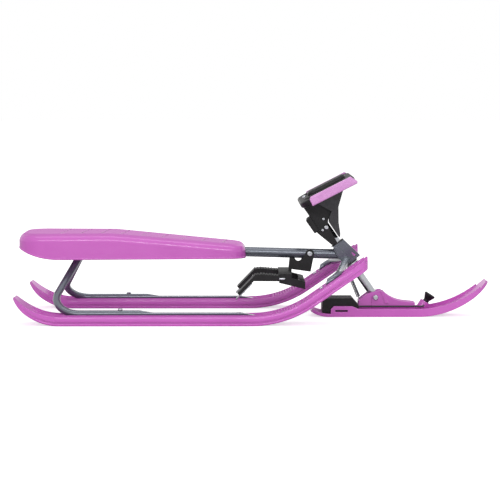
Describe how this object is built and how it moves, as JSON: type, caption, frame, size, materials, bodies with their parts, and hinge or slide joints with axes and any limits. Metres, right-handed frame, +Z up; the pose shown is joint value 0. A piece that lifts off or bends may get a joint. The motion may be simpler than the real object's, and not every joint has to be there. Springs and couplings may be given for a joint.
{
  "type": "steering sled",
  "caption": "Long-seated snow sled on moulded skis with a tubular frame, a steered and sprung front ski with a wheel, a foot brake with claws and a tow line that winds in.",
  "frame": {"origin": "on the ground, under the middle of the whole sled", "axes": "+X forwards, +Y to the rider's left, +Z up"},
  "size_m": [1.168, 0.488, 0.3534],
  "materials": {
    "pink_plastic": "moulded polyethylene, satin gloss",
    "grip_plastic": "soft moulded grip, matt",
    "frame_paint": "powder coat, dark blue-grey",
    "black_plastic": "moulded, fine grain",
    "shell_plastic": "moulded, fine grain, dark grey",
    "bush_plastic": "acetal, black",
    "bright_chrome": "bright plated tube",
    "zinc_steel": "zinc plated",
    "spring_steel": "drawn spring wire",
    "line_cord": "braided nylon line"
  },
  "bodies": {
    "frame": {"right_ski": "pink_plastic", "left_ski": "pink_plastic", "ski_screws": "zinc_steel", "main_tube": "frame_paint", "main_tube_plug": "black_plastic", "right_runner_tube": "frame_paint", "left_runner_tube": "frame_paint", "right_front_strut": "frame_paint", "left_front_strut": "frame_paint", "seat_shell": "pink_plastic", "seat_screws": "zinc_steel", "head_tube": "frame_paint", "head_bracket": "frame_paint", "upper_head_bush": "bush_plastic", "lower_head_bush": "bush_plastic", "brake_pivot_bolt": "zinc_steel", "brake_pivot_nut": "zinc_steel", "return_spool": "black_plastic", "return_spring": "spring_steel"},
    "steering": {"steering_column": "bright_chrome", "column_washer": "zinc_steel", "retaining_clip": "spring_steel", "spring_lug": "zinc_steel", "levelling_spring": "spring_steel", "stem_core": "black_plastic", "stem_box": "black_plastic", "stem_shell": "shell_plastic", "clamp_bolt": "zinc_steel", "stem_screws": "zinc_steel", "wheel_rim": "black_plastic", "right_grip": "grip_plastic", "left_grip": "grip_plastic", "wheel_cover": "black_plastic", "wheel_screws": "zinc_steel"},
    "front_ski": {"front_ski": "pink_plastic", "ski_mount": "pink_plastic", "mount_screws": "zinc_steel", "pivot_bolt": "zinc_steel", "pivot_nut": "zinc_steel", "spring_anchor": "zinc_steel", "reel_housing": "black_plastic", "reel_base": "black_plastic", "reel_screws": "zinc_steel", "reel_axle": "zinc_steel", "reel_spring": "spring_steel", "handle_socket": "pink_plastic", "tow_line": "line_cord"},
    "reel": {"reel_drum": "black_plastic", "wound_line": "line_cord"},
    "tow_handle": {"tow_handle": "black_plastic", "handle_line": "line_cord"},
    "brake": {"brake_frame": "black_plastic", "right_pedal": "black_plastic", "left_pedal": "black_plastic", "right_claw": "zinc_steel", "left_claw": "zinc_steel", "claw_rivets": "zinc_steel", "pedal_screws": "zinc_steel"}
  },
  "joints": [
    {"name": "steering_turn", "type": "hinge", "parent": "frame", "child": "steering", "pos_m": [0.3015, 0, 0.0465], "axis": [-0.5736, 0, 0.8192], "range_deg": [-30, 30]},
    {"name": "front_ski_pitch", "type": "hinge", "parent": "steering", "child": "front_ski", "pos_m": [0.3015, 0, 0.0465], "axis": [0, 1, 0], "range_deg": [-10, 8], "stiffness_Nm_per_rad": 8, "springref_deg": -1.15, "deforming": ["levelling_spring"]},
    {"name": "tow_handle_pull", "type": "slide", "parent": "front_ski", "child": "tow_handle", "axis": [0.5446, 0, 0.8387], "range_m": [0, 1.1], "stiffness_N_per_m": 5, "springref_m": -1},
    {"name": "reel_spin", "type": "hinge", "parent": "front_ski", "child": "reel", "pos_m": [0.2055, 0, 0.0245], "axis": [0, 0, 1], "range_deg": [0, 2425]},
    {"name": "brake_press", "type": "hinge", "parent": "frame", "child": "brake", "pos_m": [0.1374, 0, 0.1555], "axis": [0, -1, 0], "range_deg": [0, 16], "stiffness_Nm_per_rad": 1.5, "springref_deg": -57.3}
  ],
  "couplings": [
    {"joint": "reel_spin", "follows": "tow_handle_pull", "rad_per_m": 38.462}
  ]
}
